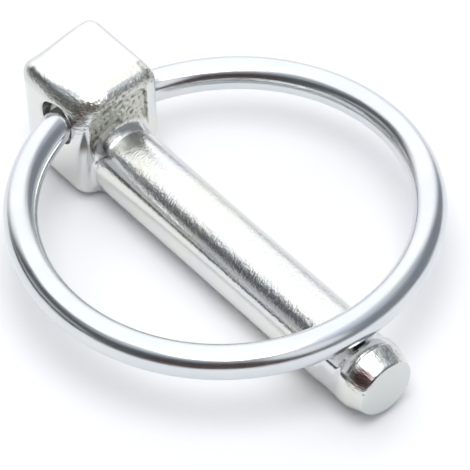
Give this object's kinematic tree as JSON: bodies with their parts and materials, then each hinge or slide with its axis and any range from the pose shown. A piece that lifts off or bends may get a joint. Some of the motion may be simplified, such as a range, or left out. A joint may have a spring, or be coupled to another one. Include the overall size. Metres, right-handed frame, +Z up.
{
  "type": "lynch pin",
  "caption": "Forged pin with a rounded block head and a wire snap ring that swings on the head and closes over the shank's tip end.",
  "frame": {"origin": "on the shank's axis, where the fillet under the head ends and the shank's parallel wall starts", "axes": "+X along the shank to its tip, +Z up out of the head, +Y to the side where the hinge hole leaves the head lower"},
  "size_m": [0.0679, 0.0576, 0.0179],
  "materials": {
    "forged_steel": "bright zinc plate over a forged surface, with fine grain along the edges",
    "spring_wire": "smooth bright zinc plate with a bluish tint"
  },
  "bodies": {
    "pin": {"pin_body": "forged_steel"},
    "ring": {"ring": "spring_wire"}
  },
  "joints": [
    {"name": "ring_hinge", "type": "hinge", "parent": "pin", "child": "ring", "pos_m": [-0.00638, 0, 0.0061], "axis": [-0.0044, -0.9789, 0.2045], "range_deg": [0, 180]}
  ]
}
